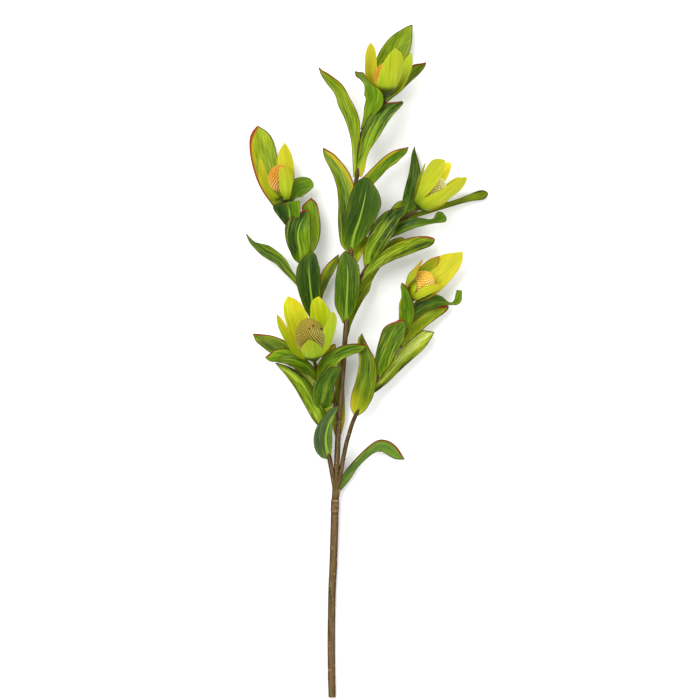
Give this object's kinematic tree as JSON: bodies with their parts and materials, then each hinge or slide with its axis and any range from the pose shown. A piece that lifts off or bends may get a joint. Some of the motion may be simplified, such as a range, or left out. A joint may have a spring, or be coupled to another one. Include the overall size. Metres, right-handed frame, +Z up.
{
  "type": "leucadendron stem",
  "caption": "Cut leucadendron stem lying on its side: a slim brown forking stem, leathery green leaves with red edges, and blooms of yellow bracts round woody cones.",
  "frame": {"origin": "bottom centre of the part's box, on the surface that the stem lies on", "axes": "+Y along the stem from its cut end to its topmost bloom, +Z up from the surface, +X to the right as seen from above"},
  "size_m": [0.2422, 0.6768, 0.0773],
  "materials": {
    "bark": "matt, finely ridged",
    "leaf_green": "satin, finely veined",
    "bract_yellow": "satin, waxy",
    "cone_gold": "matt, scaly",
    "cone_olive": "matt, scaly"
  },
  "bodies": {
    "root": {"woody_stem": "bark", "shoot_top": "leaf_green", "shoot_upper_right": "leaf_green", "shoot_lower_right": "leaf_green", "shoot_lower_left": "leaf_green", "shoot_upper_left": "leaf_green", "leaf_fork": "leaf_green", "leaf_behind": "leaf_green", "bracts_top": "bract_yellow", "bracts_upper_right": "bract_yellow", "bracts_lower_right": "bract_yellow", "bracts_lower_left": "bract_yellow", "bracts_upper_left": "bract_yellow", "cone_top": "cone_gold", "cone_upper_right": "cone_gold", "cone_lower_right": "cone_gold", "cone_upper_left": "cone_gold", "cone_lower_left": "cone_olive"}
  },
  "joints": []
}
